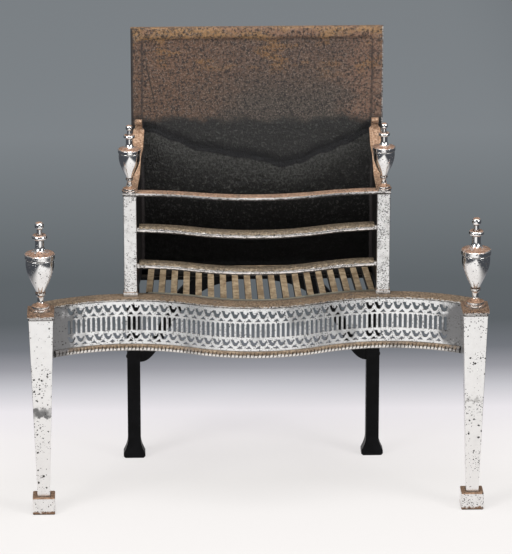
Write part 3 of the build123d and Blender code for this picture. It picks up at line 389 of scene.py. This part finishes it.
def forged_iron(name, colour=(0.0032, 0.0032, 0.0036), worn=(0.050, 0.046, 0.042), roughness=0.40, dust=0.10,
                specular=0.07, edge=0.0012):
    """Black iron from the forge, with rubbed arrises and a little ash on what looks up."""
    material, tree, shader, place = blank_finish(name)
    arris = place_group(tree, edge_wear_and_crease_shade, {"Radius": edge})
    ash = place_group(tree, upward_film_and_reflection, {"Position": place, "Onset": 0.5})["FilmAndReflection"]
    scale = mottle(tree, place, 38.0, 5.0, 0.6)
    grain = mottle(tree, place, 420.0, 3.0, 0.7)
    paler = tuple(1.9 * part for part in colour)
    tone = tint(tree, ramp(tree, scale, 0.35, 0.7), colour, paler)
    tone = tint(tree, product(tree, arris["WearAndCreaseShade"], ramp(tree, grain, 0.35, 0.65, 0.2, 0.8)), tone, worn)
    tone = tint(tree, product(tree, ash, dust), tone, ash_brown)
    height = reckon(tree, "MULTIPLY_ADD", grain, 0.25, scale)
    bump = put(tree, "ShaderNodeBump", {"Strength": 0.5, "Distance": 0.0012, "Height": height,
                                        "Normal": arris["Normal"]})
    tree.links.new(tone, shader.inputs["Base Color"])
    tree.links.new(ramp(tree, scale, 0.3, 0.7, roughness - 0.08, roughness + 0.12), shader.inputs["Roughness"])
    tree.links.new(bump.outputs[0], shader.inputs["Normal"])
    shader.inputs["Specular IOR Level"].default_value = specular
    return material


black_iron = forged_iron("black_iron")
coat(black_iron, "rear_leg_left", "rear_leg_right", "rear_brace_left", "rear_brace_right", "rear_bearer",
     "brace_rivets", "bearer_bolts", "plate_bolts")
ledge_iron = forged_iron("ledge_iron", colour=(0.03, 0.027, 0.023), worn=(0.14, 0.11, 0.08), dust=0.5)
coat(ledge_iron, "front_bearer")

# Bottom grid: flat bars between a front and a rear strip, loose on the bearers.
# Their tops are brown-grey from ash and heat, and their sides stay dark.

burnt_brown = (0.07, 0.055, 0.04)


def scaled_iron(name, top=(0.215, 0.146, 0.084), pale=(0.50, 0.385, 0.25), side=(0.012, 0.010, 0.009)):
    """Iron under the fire: scaled and ash-brown on top, black at the sides."""
    material, tree, shader, place = blank_finish(name)
    up = place_group(tree, upward_film_and_reflection, {"Position": place, "Onset": 0.45})["FilmAndReflection"]
    arris = place_group(tree, edge_wear_and_crease_shade, {"Radius": 0.001})
    blotch = mottle(tree, place, 60.0, 6.0, 0.7)
    grain = mottle(tree, place, 500.0, 3.0, 0.7)
    crust = tint(tree, ramp(tree, blotch, 0.38, 0.66), top, pale)
    crust = tint(tree, ramp(tree, grain, 0.55, 0.72, 0.0, 0.6), crust, burnt_brown)
    tone = tint(tree, up, side, crust)
    tone = tint(tree, product(tree, arris["WearAndCreaseShade"], 0.3), tone, pale)
    bump = put(tree, "ShaderNodeBump", {"Strength": 0.6, "Distance": 0.0006,
                                        "Height": total(tree, grain, blotch), "Normal": arris["Normal"]})
    tree.links.new(tone, shader.inputs["Base Color"])
    tree.links.new(bump.outputs[0], shader.inputs["Normal"])
    shader.inputs["Roughness"].default_value = 0.62
    shader.inputs["Specular IOR Level"].default_value = 0.35
    return material


grid_iron = scaled_iron("grid_iron")
coat(grid_iron, "grid_bars", "grid_rear_strip")
grid_rim_iron = scaled_iron("grid_rim_iron", top=(0.22, 0.21, 0.16), pale=(0.36, 0.34, 0.27),
                            side=(0.10, 0.10, 0.085))
coat(grid_rim_iron, "grid_front_strip")

# Back plate: one casting in a raised border. The fire has worn the field to a
# low, uneven ridge; below it the iron is sooty, and above it rust has come up.

plate_low, plate_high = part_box("back_plate")
border_width = 0.021
border_rise = 0.003
arris_radius = 0.0016
groove_depth = 0.0005       # line where the border meets the field
swell_depth = 0.0010        # soft unevenness of the casting
grain_depth = 0.0005        # roughness left by the sand
ridge_bulge = 0.0027
hollow_depth = 0.0030
# The ridge of the burnt hollow, as places across and up the plate
ridge_places = [(-0.225, 0.668), (-0.194, 0.655), (-0.147, 0.635), (-0.100, 0.616), (-0.025, 0.604),
                (0.016, 0.596), (0.055, 0.583), (0.087, 0.591), (0.134, 0.611), (0.172, 0.627), (0.219, 0.651)]


def ease(value, start, end):
    """How far a value has come from start to end, with a soft beginning and a soft end."""
    share = min(max((value - start) / (end - start), 0.0), 1.0)
    return share * share * (3 - 2 * share)


def ridge_height(x):
    """Where the burnt hollow starts, going up the plate, at a place across it."""
    for (x0, z0), (x1, z1) in zip(ridge_places, ridge_places[1:]):
        if x <= x1:
            return z0 + (z1 - z0) * ease(x, x0, x1)
    return ridge_places[-1][1]


def over_ridge(x, z):
    """Height above the ragged ridge."""
    return z - ridge_height(x) - 0.004 * noise.noise(Vector((x * 22, 9.0, 0)))


def plate_depth(x, z):
    """How far the cast face lies behind the front of the border."""
    inset = min(x - plate_low.x, plate_high.x - x, z - plate_low.z, plate_high.z - z)
    wander = 0.0012 * noise.noise(Vector((x * 30, 0, z * 30)))
    sunk = ease(inset, border_width - 0.005 + wander, border_width + 0.004 + wander)
    rounded = arris_radius * (1 - ease(inset, 0.0, 0.004))
    groove = groove_depth * ease(inset, border_width - 0.001, border_width + 0.001)
    groove *= 1 - ease(inset, border_width + 0.003, border_width + 0.007)
    swell = swell_depth * (0.5 + 0.5 * noise.noise(Vector((x * 16, 3.0, z * 16))))
    above = over_ridge(x, z)
    bulge = ridge_bulge * (1 - ease(above, 0.0, 0.009)) * (1 - 0.6 * ease(-above, 0.0, 0.05))
    hollow = hollow_depth * ease(-above, 0.01, 0.13)
    grain = grain_depth * (1 + noise.noise(Vector((x * 120, 7.0, z * 120)))) * (1 + ease(-above, -0.03, 0.0))
    field = border_rise + swell - bulge + hollow + groove
    return max(rounded + grain + sunk * field, 0.0)


def cast_plate(columns=190, rows=194):
    """The plate as one closed mesh, finely divided on its front face."""
    mesh = bmesh.new()
    across = [plate_low.x + (plate_high.x - plate_low.x) * i / columns for i in range(columns + 1)]
    up = [plate_low.z + (plate_high.z - plate_low.z) * j / rows for j in range(rows + 1)]
    back_y = plate_high.y
    front = [[mesh.verts.new((x, plate_low.y + plate_depth(x, z), z)) for x in across] for z in up]
    back = [[mesh.verts.new((x, back_y, z)) for x in across] for z in (up[0], up[-1])]
    for j in range(rows):
        for i in range(columns):
            mesh.faces.new((front[j][i], front[j][i + 1], front[j + 1][i + 1], front[j + 1][i]))
    for i in range(columns):
        mesh.faces.new((back[0][i], back[0][i + 1], front[0][i + 1], front[0][i]))
        mesh.faces.new((front[-1][i], front[-1][i + 1], back[1][i + 1], back[1][i]))
    mesh.faces.new([back[0][0]] + [row[0] for row in front] + [back[1][0]])
    mesh.faces.new([back[1][-1]] + [row[-1] for row in reversed(front)] + [back[0][-1]])
    mesh.faces.new(back[1] + list(reversed(back[0])))
    bmesh.ops.recalc_face_normals(mesh, faces=mesh.faces)
    data = bpy.data.meshes.new("cast_back")
    mesh.to_mesh(data)
    mesh.free()
    heights = data.attributes.new("over_ridge", "FLOAT", "POINT")
    for vertex, mark in zip(data.vertices, heights.data):
        mark.value = over_ridge(vertex.co.x, vertex.co.z)
    plate = bpy.data.objects.new("cast_back", data)
    bpy.context.scene.collection.objects.link(plate)
    for face in data.polygons:
        face.use_smooth = len(face.vertices) == 4 and abs(face.normal.y) > 0.5
    return plate


field_brown = (0.124, 0.079, 0.058)
low_field_brown = (0.074, 0.062, 0.052)
left_rust = (0.152, 0.085, 0.053)
right_rust = (0.210, 0.120, 0.080)
orange_rust = (0.240, 0.125, 0.048)
top_border_rust = (0.270, 0.152, 0.095)
top_border_ochre = (0.33, 0.190, 0.088)
cast_pit = (0.022, 0.019, 0.020)
cast_fleck = (0.30, 0.235, 0.19)
deep_soot = (0.004, 0.004, 0.004)
thin_soot = (0.020, 0.0195, 0.019)
soot_glint = (0.085, 0.083, 0.076)
ridge_shade = (0.002, 0.002, 0.003)
ridge_sheen_grey = (0.060, 0.060, 0.055)
bed_soot = (0.0025, 0.0025, 0.0025)
back_scale_dark = (0.030, 0.022, 0.018)
back_scale_pale = (0.085, 0.055, 0.040)
edge_grey = (0.035, 0.030, 0.030)
left_edge_shade = (0.030, 0.026, 0.026)
right_edge_highlight = (0.50, 0.48, 0.46)
scratch_dark = (0.045, 0.034, 0.028)


def rusty_field(tree, x, z, patches, grain, speck):
    """Rust on the upper plate: browner in the middle, orange to both sides, ochre on the top border."""
    drift = ramp(tree, patches, 0.3, 0.7, -1.0, 1.0, "LINEAR")
    rust = tint(tree, ramp(tree, z, 0.70, 0.80), low_field_brown, field_brown)
    to_left = ramp(tree, reckon(tree, "MULTIPLY_ADD", drift, 0.05, x), 0.02, -0.16)
    rust = tint(tree, product(tree, to_left, 0.8), rust, left_rust)
    to_right = ramp(tree, reckon(tree, "MULTIPLY_ADD", drift, 0.03, x), 0.14, 0.21)
    rust = tint(tree, product(tree, to_right, 0.8), rust, right_rust)
    flare = product(tree, ramp(tree, patches, 0.50, 0.62), ramp(tree, z, 0.74, 0.80))
    rust = tint(tree, product(tree, flare, 0.75), rust, orange_rust)
    ledge = ramp(tree, reckon(tree, "MULTIPLY_ADD", drift, 0.003, z), 0.832, 0.838)
    ochre = tint(tree, ramp(tree, patches, 0.42, 0.58), top_border_rust, top_border_ochre)
    rust = tint(tree, product(tree, ledge, 0.9), rust, ochre)
    rust = tint(tree, ramp(tree, grain, 0.46, 0.57, 0.0, 0.88), rust, cast_pit)
    return tint(tree, ramp(tree, speck, 0.52, 0.66, 0.0, 0.5), rust, cast_fleck)


def sooty_field(tree, z, grain):
    """Soot on the lower plate, flecked with painted glints, with a painted dark reflection over the ridge and a
    painted grey sheen on the shoulder under it.
    """
    soot = tint(tree, ramp(tree, z, 0.50, 0.64), deep_soot, thin_soot)
    # The grain is flecked with painted glints.
    soot = tint(tree, ramp(tree, grain, 0.54, 0.62, 0.0, 0.65), soot, soot_glint)
    ridge = put(tree, "ShaderNodeAttribute", attribute_name="over_ridge").outputs["Fac"]
    # A painted dark reflection in a band just over the ridge, where the lip looks up.
    shade = product(tree, ramp(tree, ridge, 0.030, 0.008), ramp(tree, ridge, -0.003, 0.001))
    soot = tint(tree, product(tree, shade, 0.95), soot, ridge_shade)
    # A painted grey sheen on the shoulder just under the ridge.
    shoulder = product(tree, ramp(tree, ridge, 0.0, -0.003), ramp(tree, ridge, -0.060, -0.006))
    shoulder = product(tree, shoulder, ramp(tree, grain, 0.42, 0.58, 0.05, 1.0))
    soot = tint(tree, shoulder, soot, ridge_sheen_grey)
    return tint(tree, ramp(tree, z, 0.56, 0.44, 0.0, 0.9), soot, bed_soot)


def edges_and_scratch(tree, tone, x, z, speck, grain):
    """Scale on the back, dark flanks, painted shade on the left front edge and a painted highlight on the right
    one, and a long scratch.
    """
    normal = facing_of(tree)
    front = ramp(tree, normal[1], -0.3, -0.7)
    scale = tint(tree, ramp(tree, grain, 0.40, 0.62), back_scale_dark, back_scale_pale)
    tone = tint(tree, ramp(tree, normal[1], 0.5, 0.8), tone, scale)
    flank = ramp(tree, reckon(tree, "ABSOLUTE", normal[0]), 0.25, 0.6, 0.0, 0.85)
    tone = tint(tree, flank, tone, edge_grey)
    # Painted shade along the rounded left front edge.
    left = ramp(tree, x, plate_low.x + 0.0055, plate_low.x + 0.003, 0.0, 0.85)
    tone = tint(tree, product(tree, left, front), tone, left_edge_shade)
    # A dotted painted highlight along the right front edge.
    right = ramp(tree, x, plate_high.x - 0.003, plate_high.x - 0.0015)
    right = product(tree, right, ramp(tree, speck, 0.42, 0.6))
    tone = tint(tree, product(tree, right, front), tone, right_edge_highlight)
    aside = reckon(tree, "ABSOLUTE", reckon(tree, "MULTIPLY_ADD", z, 0.21, total(tree, x, 0.0365)))
    scratch = product(tree, ramp(tree, z, 0.704, 0.712), ramp(tree, z, 0.790, 0.780))
    scratch = product(tree, ramp(tree, aside, 0.0018, 0.0006), scratch)
    return tint(tree, product(tree, scratch, front), tone, scratch_dark)


def cast_iron_finish():
    """Soot below, rust above, both finely pitted."""
    material, tree, shader, place = blank_finish("cast_back_iron")
    x, _, z = axes_of(tree, place)
    patches = mottle(tree, stretched(tree, place, (1.0, 1.0, 2.6)), 13.0, 5.0, 0.65)
    grain = mottle(tree, place, 210.0, 4.0, 0.8)
    speck = mottle(tree, place, 380.0, 2.0, 0.7)
    clean = ramp(tree, total(tree, wandering(tree, place, 26.0, 0.010), z), 0.668, 0.690)
    tone = tint(tree, clean, sooty_field(tree, z, grain), rusty_field(tree, x, z, patches, grain, speck))
    tone = edges_and_scratch(tree, tone, x, z, speck, grain)
    relief = total(tree, grain, product(tree, patches, 0.4))
    bump = put(tree, "ShaderNodeBump", {"Strength": 1.0, "Distance": 0.004, "Height": relief})
    tree.links.new(tone, shader.inputs["Base Color"])
    tree.links.new(ramp(tree, clean, 0.0, 1.0, 0.30, 0.60), shader.inputs["Roughness"])
    tree.links.new(bump.outputs[0], shader.inputs["Normal"])
    tree.links.new(ramp(tree, z, 0.46, 0.60, 0.06, 0.34), shader.inputs["Specular IOR Level"])
    return material


cast_back = cast_plate()
cast_back.data.materials.append(cast_iron_finish())
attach(cast_back, "frame")
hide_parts("back_plate")

# Cheeks: an upright iron plate closes each side of the basket, with an angle at
# the back and a flat strap along the stepped top that ends in a rounded tongue.

cheek_iron = forged_iron("cheek_iron", colour=(0.010, 0.009, 0.009), worn=(0.10, 0.08, 0.06), roughness=0.5,
                         specular=0.14)
coat(cheek_iron, "cheek_plate_left", "cheek_plate_right", "cheek_angle_left", "cheek_angle_right",
     "angle_rivets", "cheek_rivets")
strap_steel = polished_steel("strap_steel", tone=(0.62, 0.52, 0.45), roughness=0.30, pits=0.32, pit_size=0.0026,
                             onset=-0.6, film_and_reflection=(0.24, 0.14, 0.085), pale_film_and_reflection=(0.52, 0.36, 0.25),
                             shade_and_grime_reach=0.008, edge=0.0018)
coat(strap_steel, "cheek_strap_left", "cheek_strap_right")

# Studio: a pale floor that runs back into a grey wall of shade, soft lamps above
# and to both sides, and a long lens a little left of the middle, looking down.

floor_side = 24.0
floor_start, floor_end = -1.0, 2.4      # the shading runs between these places, front to back
floor_shades = [(0.0, (0.97, 0.96, 0.95)), (0.17, (0.85, 0.825, 0.81)), (0.30, (0.84, 0.815, 0.80)),
                (0.365, (0.87, 0.84, 0.84)), (0.414, (0.83, 0.80, 0.83)), (0.453, (0.58, 0.575, 0.61)),
                (0.488, (0.32, 0.32, 0.35)), (0.524, (0.17, 0.18, 0.20)), (0.576, (0.108, 0.12, 0.13)),
                (0.66, (0.115, 0.129, 0.139)), (0.788, (0.16, 0.178, 0.19)), (1.0, (0.225, 0.245, 0.262))]
wing_grey = (0.060, 0.065, 0.075)


def floor_finish():
    """Pale in front, dark behind and to the sides, and darker still at the sides in the polish."""
    material = bpy.data.materials.new("floor_paint")
    material.use_nodes = True
    tree = material.node_tree
    tree.nodes.remove(tree.nodes["Principled BSDF"])
    x, y, _ = axes_of(tree, put(tree, "ShaderNodeTexCoord").outputs["Object"])
    shade = put(tree, "ShaderNodeValToRGB", {0: ramp(tree, y, floor_start, floor_end, kind="LINEAR")})
    points = shade.color_ramp.elements
    while len(points) < len(floor_shades):
        points.new(0.5)
    for point, (position, _) in zip(points, floor_shades):
        point.position = position
    for point, (_, colour) in zip(points, floor_shades):
        point.color = (*colour, 1.0)
    path = put(tree, "ShaderNodeLightPath")
    outward = reckon(tree, "ABSOLUTE", x)
    unseen = reckon(tree, "SUBTRACT", 1.0, path.outputs["Is Camera Ray"])
    wings = larger(tree, product(tree, ramp(tree, outward, 0.52, 1.05), unseen), ramp(tree, outward, 0.62, 1.6))
    shaded = tint(tree, wings, shade.outputs[0], wing_grey)
    matt = put(tree, "ShaderNodeBsdfDiffuse", {"Color": shaded})
    glow = put(tree, "ShaderNodeEmission", {"Color": shaded, "Strength": 1.0})
    lit = larger(tree, product(tree, path.outputs["Is Camera Ray"], 0.72), path.outputs["Is Glossy Ray"])
    mixed = put(tree, "ShaderNodeMixShader", {0: lit, 1: matt.outputs[0], 2: glow.outputs[0]})
    tree.links.new(mixed.outputs[0], tree.nodes["Material Output"].inputs["Surface"])
    return material


bpy.ops.mesh.primitive_plane_add(size=floor_side, location=(0, 0, 0))
floor = bpy.context.object
floor.name = "studio_floor"
floor.data.materials.append(floor_finish())

world = bpy.data.worlds.new("studio")
bpy.context.scene.world = world
world.use_nodes = True
room = world.node_tree
sky = room.nodes["Background"]
sky.inputs["Color"].default_value = (0.60, 0.61, 0.62, 1.0)
sky.inputs["Strength"].default_value = 0.60
dusk = put(room, "ShaderNodeBackground", {"Color": (0.13, 0.14, 0.15, 1.0), "Strength": 1.0})
mirrored = put(room, "ShaderNodeLightPath").outputs["Is Glossy Ray"]
either = put(room, "ShaderNodeMixShader", {0: mirrored, 1: sky.outputs[0], 2: dusk.outputs[0]})
room.links.new(either.outputs[0], room.nodes["World Output"].inputs["Surface"])


def softbox(name, place, aim, width, height, watts):
    """A soft rectangular lamp that points at a place on the grate."""
    lamp = bpy.data.lights.new(name, "AREA")
    lamp.shape = "RECTANGLE"
    lamp.size, lamp.size_y, lamp.energy = width, height, watts
    made = bpy.data.objects.new(name, lamp)
    bpy.context.scene.collection.objects.link(made)
    made.location = place
    made.rotation_euler = (Vector(aim) - Vector(place)).to_track_quat("-Z", "Y").to_euler()
    return made


softbox("left_softbox", (-2.6, -2.4, 2.6), (0, 0, 0.45), 1.6, 2.2, 95)
softbox("right_softbox", (2.8, -2.0, 2.2), (0, 0, 0.45), 1.4, 2.0, 70)
softbox("top_softbox", (0.0, -0.6, 3.4), (0, 0, 0.4), 2.4, 1.6, 70)

aim = Vector((0.0, -0.00985, 0.414))
distance = 7.5
elevation, swing = math.radians(18.0), math.radians(1.9)
level_reach = distance * math.cos(elevation)
eye = aim + Vector((-level_reach * math.sin(swing), -level_reach * math.cos(swing),
                    distance * math.sin(elevation)))
lens = bpy.data.cameras.new("studio_camera")
lens.lens, lens.sensor_width, lens.clip_end = 260.7, 36.0, 60.0
camera = bpy.data.objects.new("studio_camera", lens)
camera.location = eye
camera.rotation_euler = (aim - eye).to_track_quat("-Z", "Y").to_euler()
bpy.context.scene.collection.objects.link(camera)
bpy.context.scene.camera = camera
bpy.context.scene.view_settings.view_transform = "Standard"


bpy.context.view_layer.update()
